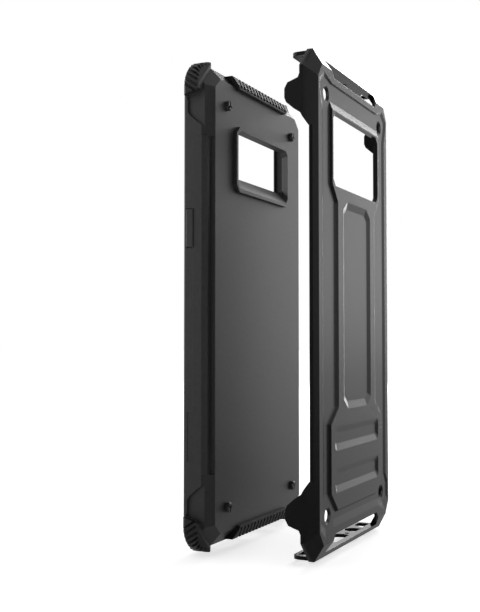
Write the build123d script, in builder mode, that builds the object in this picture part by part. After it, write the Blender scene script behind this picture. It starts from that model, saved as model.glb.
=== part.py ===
"""Two-layer rugged phone case: a soft inner shell and a hard outer frame, drawn apart.

The frame is +X right seen from the back, +Z up along the phone and +Y towards the screen.
The origin is the centre of the pocket floor, where the phone's back rests. The outer frame
stands behind the inner shell and slides along +Y until its four holes pass the snap studs.
"""
import math
import os

from build123d import *

# ---- the phone that the case is sized to ----
PHONE_W, PHONE_H, PHONE_T = 68.1, 148.9, 8.0
FIT = 0.15                      # pocket clearance on every side

# ---- inner shell ----
FLOOR_T = 1.4                   # back panel
POCKET_W = PHONE_W / 2 + FIT    # half sizes
POCKET_H = PHONE_H / 2 + FIT
POCKET_R = 8.0
POCKET_CHAMFER = 2.4
PHONE_TOP = PHONE_T + 0.05
LIP_Y = 8.6                     # front edge of the walls
LIP_REACH = 0.9                 # how far the lip comes over the screen
BODY_W, BODY_H = 37.2, 76.5     # half sizes of the walls outside
BODY_CUT_W, BODY_CUT_H = 30.8, 70.2
PANEL_W, PANEL_H = 34.2, 72.6   # flat back panel, half sizes
PANEL_CUT_W, PANEL_CUT_H = 30.6, 69.3
BEVEL_Y = 2.0                   # where the back bevel meets the walls
STEP_Y = 0.05                   # ledge beside the panel
STEP_IN, STEP_OUT = 34.4, 36.6
STEP_Z = 53.5
CHANNEL_Z, CHANNEL_W, CHANNEL_D = 45.5, 0.4, 0.6
CLIP_SEAT_W = 36.45             # wall behind the clip arms
LIP_FILLET = 0.9
NAME_PANEL_Y, NAME_PANEL_Z = 5.5, -41.8     # blank sunk panel in the left wall
NAME_PANEL_H, NAME_PANEL_L, NAME_PANEL_D = 3.0, 15.5, 0.15

# ---- ports, as places along X at one depth ----
PORT_Y = 4.0
CHARGE_W, CHARGE_H = 13.0, 6.2
JACK_X, JACK_R = 15.5, 3.2
SPEAKER_X, SPEAKER_W, SPEAKER_H = -15.0, 12.0, 2.4
LOW_MIC_X, HIGH_MIC_X, MIC_R = 8.8, 8.0, 0.8

# ---- raised details of the inner shell ----
STUD_X, STUD_Z = 26.2, 64.9
STUD_R, STUD_H = 1.6, 1.4
BUMPER_T = 2.1
BUMPER_R = 9.0
BUMPER_END_Z = 66.4
BUMPER_FRONT = 7.7              # front edge of the bumpers
BUMPER_RIM = 1.2                # width of their back rim across the corner
BUMPER_SLOPE = 4.5, 3.4         # run and rise of the slope outside that rim
BUMPER_EDGE = 0.9
RIDGES, RIDGE_FROM, RIDGE_SWEEP = 8, -4, 84     # first angle and sweep, degrees
RIDGE_L, RIDGE_W, RIDGE_D, RIDGE_SLANT = 6.4, 0.85, 1.2, 34     # grooves between ridges
STUD_GROOVE_W, STUD_GROOVE_D, STUD_EDGE = 0.6, 0.7, 0.25
RIM_Y = -2.8                    # level of the camera surround
RIM_W, RIM_LOW, RIM_HIGH = 21.6, 37.6, 59.4
RIM_WALL, RIM_CUT = 1.2, 2.4
WINDOW_LOW, WINDOW_HIGH, WINDOW_CUT = 43.4, 57.8, 1.5
GRIP_LOW, GRIP_BEND, GRIP_HIGH = 71.8, 73.2, 75.8
GRIP_Y = -1.7                   # level of the bars' far edge
GRIP_W, GRIP_LOW_W = 22.8, 18.8  # half widths at the far and near edges
GRIP_SLOTS, GRIP_PITCH, GRIP_SLOT_W, GRIP_SLOT_D = 15, 2.6, 1.2, 0.8

# ---- buttons ----
BUTTON_Y, BUTTON_H = 6.1, 2.7
BUTTON_PROUD = 0.55
BUTTON_GAP, BUTTON_EDGE = 0.2, 0.35
BUTTON_ROOT = 0.4               # clearance from the pocket wall
ROCKER_NOTCH = 0.3, 1.0         # depth and width of the notch that parts the rocker
POWER_Z, POWER_L = 24.2, 12.2
VOLUME_Z, VOLUME_L = 34.0, 23.0
ASSISTANT_Z, ASSISTANT_L = 9.0, 11.0

# ---- outer frame, measured from its hole plane ----
SNAPPED_PLANE = -1.65           # where the hole plane comes to rest once the frame is on
TRAVEL = 33.4                   # how far it stands away from there
HOLE_PLANE = SNAPPED_PLANE - TRAVEL
FRAME_W, FRAME_H = 37.9, 78.1   # half sizes outside
FRAME_T = 1.15
RAIL, PLATEAU, VALLEY = -1.3, -1.7, -0.85
PLATE_IN = -0.05                # inner face of the plate
CAVITY_BEND, CAVITY_TOP = 2.6, 3.4      # depths of the bends in the cavity's corner
RECESS_D = 0.65                 # depth of the recess and slots in the back
SIDE_EDGE, CORNER_EDGE = 1.0, 3.3
END_SLOPE, FACET_EDGE = 1.5, 2.3    # where the end walls' slopes and the side facets end
LIP_IN, LIP_OUT = 35.4, 35.9    # half widths of the low side wall at its two edges
ARM_EDGE, CLAW_EDGE = 8.2, 9.3  # how far the clip arms and the end walls reach forward
OPENING_LOW, OPENING_HIGH = 71.2, 76.3
OPENING_LOW_W, OPENING_HIGH_W = 20.3, 25.0
FRAME_WINDOW_W, FRAME_WINDOW_LOW, FRAME_WINDOW_HIGH = 22.05, 37.1, 60.2
CROSS_SLOTS = [(-38.4, -45.8), (-51.2, -58.8)]  # top and bottom of each
CROSS_W, CROSS_FOOT_W = 21.2, 19.6
HOLE_R, SEAT_R, SEAT_DEPTH = 1.8, 2.7, 0.5
CLAW_X, CLAW_R = 30.2, 2.2      # ends of the top and bottom walls, and their round tips

MIRRORS = [(sx, sz) for sz in (1, -1) for sx in (1, -1)]


def level(y):
    """Plane square to the case's depth at y, drawn as X and Z."""
    return Plane.XZ.offset(-y)


def frame_level(y):
    """The same, measured from the outer frame's hole plane."""
    return level(HOLE_PLANE + y)


def octagon(width, height, cut_width, cut_height):
    """Corners of a rectangle with cut corners, all half sizes."""
    quarter = [(width, cut_height), (cut_width, height)]
    right = [(width, -cut_height)] + quarter
    left = [(-x, z) for x, z in reversed(quarter)] + [(-width, -cut_height)]
    return right + left + [(-cut_width, -height), (cut_width, -height)]


def slab(plane_of, points, low, high, mode=Mode.ADD):
    """Prism over a polygon between two depths."""
    with BuildSketch(plane_of(low)) as outline:
        Polygon(*points, align=None)
    extrude(outline.sketch, amount=low - high, mode=mode)


def frustum(plane_of, sections, mode=Mode.ADD):
    """Straight-sided loft through polygons given as (depth, points)."""
    faces = []
    for depth, points in sections:
        with BuildSketch(plane_of(depth)) as outline:
            Polygon(*points, align=None)
        faces.append(outline.sketch.face())
    loft(faces, ruled=True, mode=mode)


def along_side(points, reach, mode=Mode.ADD):
    """Prism along the long side, over a polygon drawn as X and depth."""
    with BuildSketch(Plane.XY.offset(-reach)) as outline:
        Polygon(*points, align=None)
    extrude(outline.sketch, amount=2 * reach, mode=mode)


def rounded_rectangle_cut(sections):
    """Cut the phone's outline out, between two (depth, inset) sections."""
    faces = []
    for depth, inset in sections:
        with BuildSketch(level(depth)) as outline:
            RectangleRounded(2 * (POCKET_W - inset), 2 * (POCKET_H - inset), POCKET_R - inset)
        faces.append(outline.sketch.face())
    loft(faces, ruled=True, mode=Mode.SUBTRACT)


def rect_points(half_width, low, high, cut=0.0):
    """Rectangle with small cut corners, as eight points."""
    return [
        (half_width, low + cut), (half_width, high - cut), (half_width - cut, high),
        (cut - half_width, high), (-half_width, high - cut), (-half_width, low + cut),
        (cut - half_width, low), (half_width - cut, low),
    ]


def flipped(points, sx, sz):
    """Points mirrored into another quarter."""
    return [(sx * a, sz * b) for a, b in points]


# Side view of the clip arm: depth from the hole plane and height. The arm reaches forward
# from the frame's corner; the inner shell has a seat of the same shape with a small gap.
ARM_LOW = [(SIDE_EDGE, 53.4), (3.1, 57.1), (5.2, 58.5), (7.6, 60.6), (ARM_EDGE, 62.0)]
ARM_HIGH = [(ARM_EDGE, 64.8), (7.2, 66.6), (3.8, 67.8), (CORNER_EDGE, 69.0)]
SEAT_GAP = 0.45

BUTTONS = {
    "power_button_cover": (-1, POWER_Z, POWER_L),
    "volume_rocker_cover": (1, VOLUME_Z, VOLUME_L),
    "assistant_button_cover": (1, ASSISTANT_Z, ASSISTANT_L),
}


def side_section(side):
    """Proud middle of the long wall: ledge beside the panel, then the crowned side."""
    return [
        (side * (POCKET_W + 0.3), BEVEL_Y + 3), (side * (POCKET_W + 0.3), BEVEL_Y),
        (side * 33.4, STEP_Y - 0.9), (side * STEP_IN, STEP_Y), (side * STEP_OUT, STEP_Y),
        (side * (BODY_W + 0.1), BEVEL_Y - 0.1), (side * (BODY_W + 0.15), BEVEL_Y + 3),
    ]


# ======================= inner shell =======================
panel_outline = octagon(PANEL_W, PANEL_H, PANEL_CUT_W, PANEL_CUT_H)
body_outline = octagon(BODY_W, BODY_H, BODY_CUT_W, BODY_CUT_H)

with BuildPart() as inner_shell:
    frustum(level, [(-FLOOR_T, panel_outline), (BEVEL_Y, body_outline)])
    slab(level, body_outline, BEVEL_Y, LIP_Y)
    fillet(inner_shell.faces().sort_by(Axis.Y)[-1].edges(), LIP_FILLET)

    # ledges beside the panel, in the middle of both long sides
    for side in (1, -1):
        along_side([
            (side * PANEL_W, -FLOOR_T - 1), (side * PANEL_W, -FLOOR_T), (side * STEP_IN, STEP_Y),
            (side * 40, STEP_Y), (side * 40, -FLOOR_T - 1),
        ], STEP_Z, mode=Mode.SUBTRACT)
        along_side(side_section(side), STEP_Z)
        with Locations((side * (STEP_IN + CHANNEL_W / 2), STEP_Y, 0)):
            Box(CHANNEL_W, 2 * CHANNEL_D, 2 * CHANNEL_Z, mode=Mode.SUBTRACT)

    # pocket for the phone, narrower at the floor for the phone's rounded back edge
    rounded_rectangle_cut([(0, POCKET_CHAMFER), (POCKET_CHAMFER, 0)])
    rounded_rectangle_cut([(POCKET_CHAMFER, 0), (PHONE_TOP, 0)])
    rounded_rectangle_cut([(PHONE_TOP - 0.1, LIP_REACH), (LIP_Y + 1, LIP_REACH)])

    # seats for the four clip arms
    seat = [(y + SNAPPED_PLANE, z - SEAT_GAP) for y, z in ARM_LOW]
    seat[0] = (-FLOOR_T, seat[0][1] - 1)
    seat[-1] = (seat[-1][0] + SEAT_GAP, seat[-1][1])
    seat_top = [(y + SNAPPED_PLANE + SEAT_GAP, z + SEAT_GAP) for y, z in ARM_HIGH]
    seat_outline = seat + seat_top[:1] + [
        (7.4, BUMPER_END_Z), (2.5, 68.1), (BEVEL_Y - 0.02, 68.3),
        (BEVEL_Y - 0.02, 70.8), (-FLOOR_T, 70.8),
    ]
    for sx, sz in MIRRORS:
        with BuildSketch(Plane.YZ.offset(sx * CLIP_SEAT_W)):
            Polygon(*[(y, sz * z) for y, z in seat_outline], align=None)
        extrude(amount=sx * 3, mode=Mode.SUBTRACT)

    # camera window: straight sides, sloping sill
    frustum(level, [
        (0.5, rect_points(RIM_W + 0.1, WINDOW_LOW, WINDOW_HIGH, WINDOW_CUT)),
        (RIM_Y, rect_points(RIM_W - RIM_WALL, RIM_LOW + RIM_WALL, RIM_HIGH - RIM_WALL, WINDOW_CUT)),
    ], mode=Mode.SUBTRACT)

    # button windows through the long walls
    for side, height, length in BUTTONS.values():
        with Locations((side * BODY_W, BUTTON_Y, height)):
            Box(8, BUTTON_H + 2 * BUTTON_GAP, length + 2 * BUTTON_GAP, mode=Mode.SUBTRACT)

    # blank name panel, slightly sunk into the side
    with Locations((-BODY_W - 0.15, NAME_PANEL_Y, NAME_PANEL_Z)):
        Box(2 * NAME_PANEL_D + 0.3, NAME_PANEL_H, NAME_PANEL_L, mode=Mode.SUBTRACT)

    # ports on the bottom edge and the microphone hole on the top edge
    with BuildSketch(Plane.XY.offset(-BODY_H - 1)):
        with Locations((0, PORT_Y)):
            SlotOverall(CHARGE_W, CHARGE_H)
        with Locations((JACK_X, PORT_Y)):
            Circle(JACK_R)
        with Locations((SPEAKER_X, PORT_Y)):
            SlotOverall(SPEAKER_W, SPEAKER_H)
        with Locations((LOW_MIC_X, PORT_Y)):
            Circle(MIC_R)
    extrude(amount=4, mode=Mode.SUBTRACT)
    with BuildSketch(Plane.XY.offset(BODY_H + 1)):
        with Locations((HIGH_MIC_X, PORT_Y)):
            Circle(MIC_R)
    extrude(amount=-4, mode=Mode.SUBTRACT)

# ======================= corner bumpers =======================
corner_x = BODY_W + BUMPER_T - BUMPER_R
corner_z = BODY_H + BUMPER_T - BUMPER_R

with BuildPart() as bumper_seed:
    with BuildSketch(level(BEVEL_Y)):
        with BuildLine():
            side_end = Line((BODY_W, BUMPER_END_Z), (BODY_W + BUMPER_T, BUMPER_END_Z + 0.6))
            Line(side_end @ 1, (BODY_W + BUMPER_T, corner_z))
            top_angle = math.degrees(math.acos((BODY_CUT_W - corner_x) / BUMPER_R))
            bend = CenterArc((corner_x, corner_z), BUMPER_R, 0, top_angle)
            Line(bend @ 1, (BODY_CUT_W, BODY_H))
            Polyline((BODY_CUT_W, BODY_H), (BODY_W, BODY_CUT_H), side_end @ 0)
        make_face()
    extrude(amount=-(BUMPER_FRONT - BEVEL_Y))
    # slope across the corner, from the narrow back rim to the outer face
    cut_run = Vector(BODY_CUT_W - BODY_W, 0, BODY_H - BODY_CUT_H).normalized()
    cut_face = Vector(cut_run.Z, 0, -cut_run.X)
    middle_x, middle_z = (BODY_W + BODY_CUT_W) / 2, (BODY_H + BODY_CUT_H) / 2
    slope_run, slope_rise = BUMPER_SLOPE
    with BuildSketch(Plane(origin=(middle_x, BEVEL_Y, middle_z), x_dir=cut_face, z_dir=cut_run)):
        Polygon((BUMPER_RIM, -1), (BUMPER_RIM, 0), (BUMPER_RIM + slope_run, slope_rise),
                (BUMPER_RIM + slope_run, -1), align=None)
    extrude(amount=9, both=True, mode=Mode.SUBTRACT)
    # lower end rises towards the back
    with BuildSketch(Plane.YZ.offset(BODY_W - 1)):
        Polygon((LIP_Y, BUMPER_END_Z - 1), (LIP_Y, BUMPER_END_Z), (BEVEL_Y, 68.2),
                (BEVEL_Y, BUMPER_END_Z - 1), align=None)
    extrude(amount=5, mode=Mode.SUBTRACT)
    front_edges = bumper_seed.faces().sort_by(Axis.Y)[-1].edges().sort_by(
        lambda edge: -(edge.center().X + edge.center().Z))[:1]
    chamfer(front_edges, BUMPER_EDGE)
    # slanting ridges, cut as grooves across the outer face
    for index in range(RIDGES):
        angle = math.radians(RIDGE_FROM + index * RIDGE_SWEEP / (RIDGES - 1))
        outward = Vector(math.cos(angle), 0, math.sin(angle))
        along = Vector(-math.sin(angle), 0, math.cos(angle))
        base = Vector(corner_x, (BEVEL_Y + BUMPER_FRONT) / 2 + 0.3, corner_z) + outward * BUMPER_R
        slant = math.radians(RIDGE_SLANT)
        groove_dir = Vector(0, 1, 0) * math.cos(slant) + along * math.sin(slant)
        with Locations(Plane(origin=base, x_dir=groove_dir, z_dir=outward)):
            Box(RIDGE_L, RIDGE_W, 2 * RIDGE_D, mode=Mode.SUBTRACT)

bumpers = {}
for sx, sz in MIRRORS:
    name = ("upper" if sz > 0 else "lower") + ("_right" if sx > 0 else "_left") + "_bumper"
    with BuildPart() as bumpers[name]:
        shape = bumper_seed.part
        if sx < 0:
            shape = shape.mirror(Plane.YZ)
        if sz < 0:
            shape = shape.mirror(Plane.XY)
        add(shape)

# ======================= grip bars =======================
bevel_slope = (BEVEL_Y + FLOOR_T) / (BODY_H - PANEL_H)


def bevel_depth(z):
    """Depth of the back bevel's surface at a height."""
    return -FLOOR_T + (z - PANEL_H) * bevel_slope


with BuildPart() as grip_seed:
    with BuildSketch(Plane.YZ.offset(-24)):
        Polygon((-FLOOR_T, GRIP_LOW), (RIM_Y, GRIP_LOW + 0.2), (RIM_Y, GRIP_BEND), (GRIP_Y, GRIP_HIGH),
                (bevel_depth(GRIP_HIGH), GRIP_HIGH), (-FLOOR_T, PANEL_H), align=None)
    extrude(amount=48)
    # both ends are cut along the sides of the frame's opening
    for side in (1, -1):
        with BuildSketch(level(RIM_Y - 1)):
            Polygon((side * GRIP_LOW_W, GRIP_LOW - 1), (side * GRIP_LOW_W, GRIP_LOW),
                    (side * GRIP_W, GRIP_HIGH), (side * GRIP_W, GRIP_HIGH + 2),
                    (side * 30, GRIP_HIGH + 2), (side * 30, GRIP_LOW - 1), align=None)
        extrude(amount=-8, mode=Mode.SUBTRACT)
    for index in range(GRIP_SLOTS):
        place = (index - (GRIP_SLOTS - 1) / 2) * GRIP_PITCH
        with BuildSketch(Plane.YZ.offset(place - GRIP_SLOT_W / 2)):
            Polygon((RIM_Y - 1, GRIP_LOW + 0.5), (RIM_Y + GRIP_SLOT_D, GRIP_LOW + 0.9),
                    (RIM_Y + GRIP_SLOT_D, GRIP_BEND), (GRIP_Y + GRIP_SLOT_D, GRIP_HIGH),
                    (GRIP_Y + GRIP_SLOT_D, GRIP_HIGH + 1), (RIM_Y - 1, GRIP_HIGH + 1), align=None)
        extrude(amount=GRIP_SLOT_W, mode=Mode.SUBTRACT)

with BuildPart() as upper_grip_bar:
    add(grip_seed.part)
with BuildPart() as lower_grip_bar:
    add(grip_seed.part.mirror(Plane.XY))

# ======================= camera surround =======================
with BuildPart() as camera_bezel:
    slab(level, rect_points(RIM_W, RIM_LOW, RIM_HIGH, RIM_CUT), -FLOOR_T, RIM_Y)
    frustum(level, [
        (0.5, rect_points(RIM_W + 0.1, WINDOW_LOW, WINDOW_HIGH, WINDOW_CUT)),
        (RIM_Y, rect_points(RIM_W - RIM_WALL, RIM_LOW + RIM_WALL, RIM_HIGH - RIM_WALL, WINDOW_CUT)),
    ], mode=Mode.SUBTRACT)

# ======================= snap studs =======================
studs = {}
for sx, sz in MIRRORS:
    name = ("upper" if sz > 0 else "lower") + ("_right" if sx > 0 else "_left") + "_stud"
    with BuildPart() as studs[name]:
        with BuildSketch(level(-FLOOR_T)):
            with Locations((sx * STUD_X, sz * STUD_Z)):
                Circle(STUD_R)
        extrude(amount=STUD_H)
        chamfer(studs[name].faces().sort_by(Axis.Y)[0].edges(), STUD_EDGE)
        # three grooves meeting in the middle of the head
        for leg in range(3):
            angle = math.radians(90 + 120 * leg)
            groove = Vector(math.cos(angle), 0, sz * math.sin(angle))
            with Locations(Plane(origin=(sx * STUD_X, RIM_Y, sz * STUD_Z), x_dir=groove, z_dir=(0, 1, 0))):
                Box(2, STUD_GROOVE_W, 2 * STUD_GROOVE_D,
                    align=(Align.MIN, Align.CENTER, Align.CENTER), mode=Mode.SUBTRACT)

# ======================= button covers =======================
covers = {}
for name, (side, height, length) in BUTTONS.items():
    with BuildPart() as covers[name]:
        inner_x = POCKET_W + BUTTON_ROOT
        outer_x = BODY_W + BUTTON_PROUD
        with Locations((side * (inner_x + outer_x) / 2, BUTTON_Y, height)):
            Box(outer_x - inner_x, BUTTON_H, length)
        outside = covers[name].faces().sort_by(Axis.X)[-1 if side > 0 else 0]
        chamfer(outside.edges(), BUTTON_EDGE)
        if name == "volume_rocker_cover":
            notch_depth, notch_width = ROCKER_NOTCH
            with Locations((side * outer_x, BUTTON_Y, height)):
                Box(2 * notch_depth, BUTTON_H + 1, notch_width, mode=Mode.SUBTRACT)

# ======================= outer frame =======================
flat_outline = octagon(33.8, 73.2, 30.4, 68.8)
slope_outline = octagon(37.0, FRAME_H, 31.3, 70.9)
wall_outline = octagon(FRAME_W, FRAME_H, 31.5, 71.5)
cavity_low = octagon(34.15, 72.7, 30.6, 69.3)
cavity_bend = octagon(FRAME_W - FRAME_T, 76.1, 31.0, 70.6)
cavity_high = octagon(FRAME_W - FRAME_T, FRAME_H - FRAME_T, 31.0, 71.0)

# raised middle of the back: camera surround, neck and lower body
plateau_half = [
    (22.9, 60.8), (22.9, 37.6), (18.0, 32.2), (18.0, -32.4), (24.8, -37.4), (24.8, -58.5), (19.2, -64.0),
]
plateau_foot = [
    (23.6, 63.3), (23.6, 37.2), (19.0, 31.8), (19.0, -32.0), (25.6, -37.1), (25.6, -58.9), (19.4, -64.8),
]
# long recess in the back, at its rim and its foot
recess_half = [(9.4, 33.3), (13.4, 30.4), (13.4, -30.4), (9.4, -33.3)]
recess_foot = [(8.6, 31.0), (11.2, 29.2), (11.2, -29.2), (8.6, -31.0)]
# inner edge of the rails that run round the back, bulging round the holes
rail_half = [
    (19.6, 69.2), (22.2, 69.2), (28.8, 71.2), (33.0, 68.4), (33.0, 66.6), (30.9, 60.0),
    (30.9, -59.0), (33.0, -62.5), (33.0, -68.2), (28.8, -71.2), (22.2, -69.0), (19.6, -69.0),
]
rail_foot = [
    (19.6, 68.8), (21.8, 68.8), (28.0, 69.8), (31.4, 67.6), (31.4, 66.2), (29.1, 60.0),
    (29.1, -58.4), (31.4, -61.7), (31.4, -66.6), (28.0, -68.6), (21.8, -66.6), (19.6, -66.6),
]


def both_sides(half):
    """A half outline joined to its mirror image."""
    return half + [(-x, z) for x, z in reversed(half)]


with BuildPart() as outer_shell:
    frustum(frame_level, [(RAIL, flat_outline), (END_SLOPE, slope_outline), (FACET_EDGE, wall_outline)])
    slab(frame_level, wall_outline, FACET_EDGE, CLAW_EDGE)
    # narrower between the clip arms
    for side in (1, -1):
        along_side([
            (side * LIP_IN, HOLE_PLANE + 0.1), (side * LIP_OUT, HOLE_PLANE + SIDE_EDGE),
            (side * 40, HOLE_PLANE + SIDE_EDGE + 1), (side * 40, HOLE_PLANE + 0.1),
        ], ARM_LOW[0][1], mode=Mode.SUBTRACT)
    # sunken field between the rails, with the plateau standing in it
    frustum(frame_level, [(RAIL, both_sides(rail_half)), (VALLEY, both_sides(rail_foot))], mode=Mode.SUBTRACT)
    frustum(frame_level, [(VALLEY, both_sides(plateau_foot)), (PLATEAU, both_sides(plateau_half))])

    # long recess and two cross slots
    frustum(frame_level, [
        (PLATEAU, both_sides(recess_half)), (PLATEAU + RECESS_D, both_sides(recess_foot)),
    ], mode=Mode.SUBTRACT)
    for top, bottom in CROSS_SLOTS:
        frustum(frame_level, [
            (PLATEAU, rect_points(CROSS_W, bottom, top, 1.0)),
            (PLATEAU + RECESS_D, rect_points(CROSS_FOOT_W, bottom + 2.1, top - 1.9, 0.5)),
        ], mode=Mode.SUBTRACT)

    # cavity for the inner shell
    frustum(frame_level, [
        (PLATE_IN, cavity_low), (CAVITY_BEND, cavity_bend), (CAVITY_TOP, cavity_high),
    ], mode=Mode.SUBTRACT)
    slab(frame_level, cavity_high, CAVITY_TOP, CLAW_EDGE + 1, mode=Mode.SUBTRACT)

    # side walls: low in the middle, with a clip arm near each end
    middle = [(12, ARM_HIGH[0][1]), ARM_HIGH[0]] + list(reversed(ARM_LOW))
    with BuildSketch(Plane.YZ.offset(-45)):
        notch = middle + [(y, -z) for y, z in reversed(middle)]
        Polygon(*[(HOLE_PLANE + y, z) for y, z in notch], align=None)
    extrude(amount=90, mode=Mode.SUBTRACT)
    corner = [(12, ARM_HIGH[0][1])] + ARM_HIGH + [(CORNER_EDGE, 85), (12, 85)]
    for sx, sz in MIRRORS:
        with BuildSketch(Plane.YZ.offset(sx * CLAW_X)):
            Polygon(*[(HOLE_PLANE + y, sz * z) for y, z in corner], align=None)
        extrude(amount=sx * 12, mode=Mode.SUBTRACT)

    tips = outer_shell.edges().filter_by(Axis.Z).filter_by(
        lambda edge: abs(edge.center().Y - HOLE_PLANE - CLAW_EDGE) < 0.01
        and abs(abs(edge.center().X) - CLAW_X) < 0.01)
    fillet(tips, CLAW_R)

    # openings over the grip bars, and the camera window
    for sz in (1, -1):
        opening = both_sides([(OPENING_HIGH_W, OPENING_HIGH), (OPENING_LOW_W, OPENING_LOW)])
        slab(frame_level, flipped(opening, 1, sz), PLATEAU - 1, CLAW_EDGE + 1, mode=Mode.SUBTRACT)
    slab(frame_level, rect_points(FRAME_WINDOW_W, FRAME_WINDOW_LOW, FRAME_WINDOW_HIGH, 2.0),
         PLATEAU - 1, PLATE_IN + 1, mode=Mode.SUBTRACT)

    # holes in the top and bottom walls beside the claws, and the ports
    for sx in (1, -1):
        with BuildSketch(Plane.XY.offset(FRAME_H - 3)):
            Polygon((sx * 23.0, HOLE_PLANE + 4.4), (sx * 28.6, HOLE_PLANE + 4.4),
                    (sx * 28.6, HOLE_PLANE + 6.8), align=None)
        extrude(amount=6, mode=Mode.SUBTRACT)
        with BuildSketch(Plane.XY.offset(3 - FRAME_H)):
            Polygon((sx * 21.0, HOLE_PLANE + 4.2), (sx * 28.6, HOLE_PLANE + 4.2),
                    (sx * 28.6, HOLE_PLANE + 8.2), (sx * 23.5, HOLE_PLANE + 8.2), align=None)
        extrude(amount=-6, mode=Mode.SUBTRACT)
    with BuildSketch(Plane.XY.offset(3 - FRAME_H)):
        with Locations((0, HOLE_PLANE + 6.2)):
            SlotOverall(14.0, 7.0)
        with Locations((JACK_X, HOLE_PLANE + 5.5)):
            Circle(JACK_R)
        with Locations((SPEAKER_X, HOLE_PLANE + 5.6)):
            SlotOverall(9.0, 2.6)
        with Locations((LOW_MIC_X, HOLE_PLANE + 5.6)):
            Circle(0.9)
    extrude(amount=-6, mode=Mode.SUBTRACT)
    with BuildSketch(Plane.XY.offset(FRAME_H - 3)):
        with Locations((HIGH_MIC_X, HOLE_PLANE + 5.6)):
            Circle(0.9)
    extrude(amount=6, mode=Mode.SUBTRACT)

    # countersunk stud holes
    for sx, sz in MIRRORS:
        cone = []
        for depth, radius in ((VALLEY - 0.1, SEAT_R), (VALLEY + SEAT_DEPTH, HOLE_R)):
            with BuildSketch(frame_level(depth)) as ring:
                with Locations((sx * STUD_X, sz * STUD_Z)):
                    Circle(radius)
            cone.append(ring.sketch.face())
        loft(cone, mode=Mode.SUBTRACT)
        with BuildSketch(frame_level(2)):
            with Locations((sx * STUD_X, sz * STUD_Z)):
                Circle(HOLE_R)
        extrude(amount=4, mode=Mode.SUBTRACT)

# ======================= write the pieces =======================
nodes = {
    "inner_shell": inner_shell, "upper_grip_bar": upper_grip_bar, "lower_grip_bar": lower_grip_bar,
    "camera_bezel": camera_bezel, "outer_shell": outer_shell,
}
nodes.update(bumpers)
nodes.update(studs)
nodes.update(covers)

os.makedirs("parts", exist_ok=True)
for name, node in nodes.items():
    node.part.label = name
    export_step(node.part, f"parts/{name}.step")
    box = node.part.bounding_box()
    print(f"{name:24s} solids {len(node.part.solids())}  volume {node.part.volume:9.1f}  "
          f"x {box.min.X:.1f}..{box.max.X:.1f}  y {box.min.Y:.1f}..{box.max.Y:.1f}  "
          f"z {box.min.Z:.1f}..{box.max.Z:.1f}")
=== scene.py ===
import math

import bpy
from mathutils import Matrix, Vector


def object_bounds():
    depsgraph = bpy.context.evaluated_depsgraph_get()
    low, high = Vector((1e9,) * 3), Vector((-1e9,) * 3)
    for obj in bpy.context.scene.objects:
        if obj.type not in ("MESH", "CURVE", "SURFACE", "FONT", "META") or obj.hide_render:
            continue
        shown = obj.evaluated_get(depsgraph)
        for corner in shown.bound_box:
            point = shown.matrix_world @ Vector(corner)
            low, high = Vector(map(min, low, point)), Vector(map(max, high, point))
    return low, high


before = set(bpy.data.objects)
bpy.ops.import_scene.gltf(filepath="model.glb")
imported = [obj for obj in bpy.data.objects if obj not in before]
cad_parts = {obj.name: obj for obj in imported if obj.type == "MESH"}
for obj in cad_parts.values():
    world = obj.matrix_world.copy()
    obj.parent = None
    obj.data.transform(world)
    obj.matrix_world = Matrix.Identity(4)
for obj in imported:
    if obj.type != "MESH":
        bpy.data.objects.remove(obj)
cad_low, cad_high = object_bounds()

MM = 0.001

# ---- camera: where it stands and how it looks, in the case's own frame ----
YAW = math.radians(63.81)       # turn of the case's back away from the lens
PITCH = math.radians(2.23)      # upward tilt of the view
EYE = Vector((-298.5, -140.1, -12.2)) * MM
SENSOR = 36.0
FOCAL = 55.62
CLIP_START = 0.01

# ---- the two plastics ----
RUBBER = (0.027, 0.027, 0.0275)
PLASTIC = (0.008, 0.008, 0.0085)
BUMPER_SHADE, GRIP_SHADE = 0.6, 0.8     # bumpers and grip bars are darker than the shell
TONE_DARK, TONE_LIGHT = 0.85, 1.15      # mottling of the colour
MOTTLE_SCALE, SHEEN_SCALE = 900.0, 1400.0
RAMP_LOW, RAMP_HIGH = 0.3, 0.7          # part of the noise that the ramps use
COARSE_SHARE = 0.35                     # scale of the coarse grain beside the fine
COARSE_STRENGTH, FINE_STRENGTH = 0.5, 0.6
BEVEL_SAMPLES = 6

# ---- studio ----
REACH = 8.0                     # half width of the floor and radius of the wall
FLOOR_GAP = 0.0005              # between the floor and the lowest point of the case
PAPER, PAPER_ROUGHNESS, PAPER_GLOW = 0.93, 0.9, 0.65
RING, WALL_HEIGHT = 48, 7.0     # sides of the wall, and its height
CARD, CARD_ROUGHNESS, CARD_GLOW = 0.0, 0.5, 1.0     # the wall shows only its own light
BRIGHT_SIDE = (0.75, 0.62, 0.25)        # direction in which the world is brightest
SKY = [(0.05, 0.03), (0.22, 0.06), (0.36, 0.22), (0.50, 0.72), (0.70, 0.95), (0.85, 1.0)]
RISE = [(0.30, 0.20), (0.42, 0.36), (0.488, 0.44), (0.496, 0.70), (0.54, 0.88),
        (0.64, 0.74), (0.75, 0.55), (0.95, 0.30)]
WORLD_STRENGTH = 1.62
LIGHTS = [      # name, power, width and height, place from the middle of the case
    ("side", 7.5, (0.32, 0.9), (1.2, 0.07, 0.28)),
    ("high", 0.7, (0.7, 0.45), (0.95, -0.42, 0.75)),
    ("front", 2.4, (0.6, 0.8), (0.05, -1.3, 0.2)),
]


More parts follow.
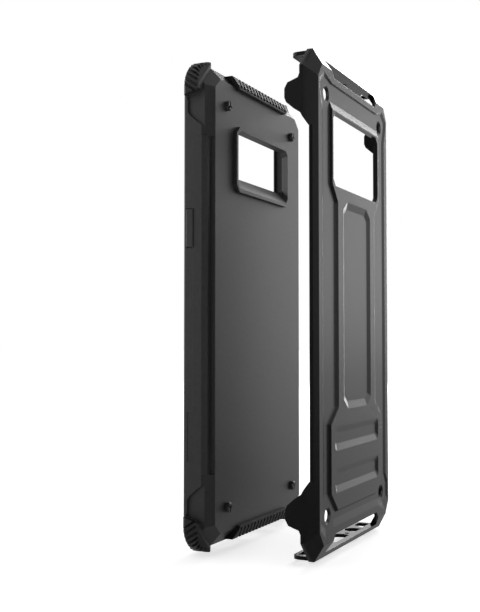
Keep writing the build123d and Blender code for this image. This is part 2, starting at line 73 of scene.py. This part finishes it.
class Nodes:
    """Small helper for building a material's node tree."""

    def __init__(self, name):
        self.material = bpy.data.materials.new(name)
        self.material.use_nodes = True
        self.tree = self.material.node_tree
        self.shader = self.tree.nodes["Principled BSDF"]

    def node(self, kind, **settings):
        made = self.tree.nodes.new(kind)
        for key, value in settings.items():
            setattr(made, key, value)
        return made

    def link(self, source, target):
        self.tree.links.new(source, target)

    def noise(self, scale, detail=2.0, roughness=0.5):
        made = self.node("ShaderNodeTexNoise")
        made.inputs["Scale"].default_value = scale
        made.inputs["Detail"].default_value = detail
        made.inputs["Roughness"].default_value = roughness
        self.link(self.place(), made.inputs["Vector"])
        return made

    def place(self):
        """Object coordinates, from one node that all the textures share."""
        for made in self.tree.nodes:
            if made.bl_idname == "ShaderNodeTexCoord":
                return made.outputs["Object"]
        return self.node("ShaderNodeTexCoord").outputs["Object"]

    def ramp(self, source, stops):
        return fill_ramp(self.tree, source, stops)

    def bump(self, source, strength, distance, below):
        made = self.node("ShaderNodeBump")
        made.inputs["Strength"].default_value = strength
        made.inputs["Distance"].default_value = distance
        self.link(source, made.inputs["Height"])
        self.link(below, made.inputs["Normal"])
        return made.outputs["Normal"]


def grey(tone):
    return (tone, tone, tone)


def shade(colour, factor):
    return tuple(part * factor for part in colour)


def fill_ramp(tree, source, stops):
    """Colour ramp through (position, colour) stops."""
    made = tree.nodes.new("ShaderNodeValToRGB")
    elements = made.color_ramp.elements
    while len(elements) < len(stops):
        elements.new(0.5)
    for element, (at, colour) in zip(elements, stops):
        element.position = at
        element.color = (*colour, 1.0)
    tree.links.new(source, made.inputs["Fac"])
    return made.outputs["Color"]


def moulded(name, colour, roughness, spread, grain, depth, gloss, edge):
    """Moulded plastic: spark-eroded grain, faint mottling and uneven sheen."""
    made = Nodes(name)
    mottle = made.noise(MOTTLE_SCALE, detail=3.0)
    tones = [(RAMP_LOW, shade(colour, TONE_DARK)), (RAMP_HIGH, shade(colour, TONE_LIGHT))]
    made.link(made.ramp(mottle.outputs["Fac"], tones), made.shader.inputs["Base Color"])
    patch = made.noise(SHEEN_SCALE)
    sheens = [(RAMP_LOW, grey(roughness - spread)), (RAMP_HIGH, grey(roughness + spread))]
    made.link(made.ramp(patch.outputs["Fac"], sheens), made.shader.inputs["Roughness"])
    fine = made.noise(grain, roughness=0.6)
    coarse = made.noise(grain * COARSE_SHARE, detail=1.0)
    rounded = made.node("ShaderNodeBevel", samples=BEVEL_SAMPLES)
    rounded.inputs["Radius"].default_value = edge
    first = made.bump(coarse.outputs["Fac"], COARSE_STRENGTH, depth, rounded.outputs["Normal"])
    surface = made.bump(fine.outputs["Fac"], FINE_STRENGTH, depth, first)
    made.link(surface, made.shader.inputs["Normal"])
    made.shader.inputs["Specular IOR Level"].default_value = gloss
    return made.material


def dress(material, *names):
    """Put a material on CAD nodes."""
    for name in names:
        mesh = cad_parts[name].data
        mesh.materials.clear()
        mesh.materials.append(material)


# name, colour, roughness, its spread, grain, grain depth, gloss, rounding of edges
shell_rubber = moulded("shell_rubber", RUBBER, 0.46, 0.02, 3800.0, 0.00002, 0.88, 0.00012)
bumper_rubber = moulded(
    "bumper_rubber", shade(RUBBER, BUMPER_SHADE), 0.46, 0.02, 3800.0, 0.00002, 0.6, 0.00012)
grip_rubber = moulded(
    "grip_rubber", shade(RUBBER, GRIP_SHADE), 0.52, 0.02, 3800.0, 0.00002, 0.3, 0.00008)
frame_plastic = moulded("frame_plastic", PLASTIC, 0.25, 0.004, 5200.0, 0.000001, 0.34, 0.00025)

corners = [f"{end}_{side}" for end in ("upper", "lower") for side in ("right", "left")]
dress(shell_rubber, "inner_shell", "camera_bezel")
dress(grip_rubber, "upper_grip_bar", "lower_grip_bar")
dress(shell_rubber, "power_button_cover", "volume_rocker_cover", "assistant_button_cover")
dress(shell_rubber, *[corner + "_stud" for corner in corners])
dress(bumper_rubber, *[corner + "_bumper" for corner in corners])
dress(frame_plastic, "outer_shell")


# ---- studio ----
def emitter(name, strength, size, place, target):
    """Soft rectangular light aimed at a point."""
    data = bpy.data.lights.new(name, "AREA")
    data.shape = "RECTANGLE"
    data.size, data.size_y = size
    data.energy = strength
    lamp = bpy.data.objects.new(name, data)
    bpy.context.scene.collection.objects.link(lamp)
    lamp.location = place
    lamp.rotation_euler = (Vector(target) - Vector(place)).to_track_quat("-Z", "Y").to_euler()


def backdrop(name, points, faces, material_name, base, roughness, glow):
    """Piece of the studio: a self-lit sheet without gloss."""
    mesh = bpy.data.meshes.new(name)
    mesh.from_pydata(points, [], faces)
    sheet = bpy.data.objects.new(name, mesh)
    bpy.context.scene.collection.objects.link(sheet)
    paper = Nodes(material_name)
    paper.shader.inputs["Base Color"].default_value = (*grey(base), 1.0)
    paper.shader.inputs["Roughness"].default_value = roughness
    paper.shader.inputs["Specular IOR Level"].default_value = 0.0
    paper.shader.inputs["Emission Color"].default_value = (1.0, 1.0, 1.0, 1.0)
    paper.shader.inputs["Emission Strength"].default_value = glow
    sheet.data.materials.append(paper.material)
    return sheet


level = cad_low.z - FLOOR_GAP
floor_corners = [
    (-REACH, -REACH, level), (REACH, -REACH, level), (REACH, REACH, level), (-REACH, REACH, level)]
floor = backdrop(
    "floor", floor_corners, [(0, 1, 2, 3)], "floor_paper", PAPER, PAPER_ROUGHNESS, PAPER_GLOW)
floor.visible_glossy = False     # the plastics mirror the dim lower studio instead

# pale wall all round, seen by the lens only: lighting and reflections come from the world
turns = [math.tau * step / RING for step in range(RING)]
ring = [(REACH * math.cos(angle), REACH * math.sin(angle)) for angle in turns]
wall_corners = [(x, y, level) for x, y in ring] + [(x, y, level + WALL_HEIGHT) for x, y in ring]
wall_faces = [(step, (step + 1) % RING, RING + (step + 1) % RING, RING + step) for step in range(RING)]
wall = backdrop("wall", wall_corners, wall_faces, "wall_card", CARD, CARD_ROUGHNESS, CARD_GLOW)
wall.visible_glossy = False
wall.visible_diffuse = False
wall.visible_shadow = False
wall.visible_transmission = False

# world light: bright on one side so that the left-hand chamfers fall dark, dimmer below the
# horizon and overhead
world = bpy.data.worlds.new("studio")
bpy.context.scene.world = world
world.use_nodes = True
sky = world.node_tree
direction = sky.nodes.new("ShaderNodeTexCoord").outputs["Generated"]


def sky_tones(source, stops):
    """Grey ramp over a value between -1 and 1."""
    spread = sky.nodes.new("ShaderNodeMapRange")
    spread.inputs["From Min"].default_value = -1.0
    spread.inputs["From Max"].default_value = 1.0
    sky.links.new(source, spread.inputs["Value"])
    return fill_ramp(sky, spread.outputs["Result"], [(at, grey(tone)) for at, tone in stops])


facing = sky.nodes.new("ShaderNodeVectorMath")
facing.operation = "DOT_PRODUCT"
facing.inputs[1].default_value = Vector(BRIGHT_SIDE).normalized()
sky.links.new(direction, facing.inputs[0])
upright = sky.nodes.new("ShaderNodeSeparateXYZ")
sky.links.new(direction, upright.inputs["Vector"])

both = sky.nodes.new("ShaderNodeMixRGB")
both.blend_type = "MULTIPLY"
both.inputs["Fac"].default_value = 1.0
sky.links.new(sky_tones(facing.outputs["Value"], SKY), both.inputs["Color1"])
sky.links.new(sky_tones(upright.outputs["Z"], RISE), both.inputs["Color2"])
background = sky.nodes["Background"]
sky.links.new(both.outputs["Color"], background.inputs["Color"])
background.inputs["Strength"].default_value = WORLD_STRENGTH
world.cycles.sampling_method = "NONE"

centre = (cad_low + cad_high) / 2
for name, power, size, place in LIGHTS:
    emitter(name, power, size, centre + Vector(place), centre)
bpy.context.scene.view_settings.view_transform = "Standard"

# ---- camera ----
aside = Vector((math.cos(YAW), -math.sin(YAW), 0.0))
ahead = Vector((math.sin(YAW) * math.cos(PITCH), math.cos(YAW) * math.cos(PITCH), math.sin(PITCH)))
upward = aside.cross(ahead)
turn = Matrix((aside, upward, -ahead)).transposed()
lens = bpy.data.cameras.new("camera")
lens.sensor_fit = "VERTICAL"
lens.sensor_height = SENSOR
lens.sensor_width = SENSOR
lens.lens = FOCAL
lens.clip_start = CLIP_START
camera = bpy.data.objects.new("camera", lens)
bpy.context.scene.collection.objects.link(camera)
camera.matrix_world = Matrix.Translation(EYE) @ turn.to_4x4()
bpy.context.scene.camera = camera
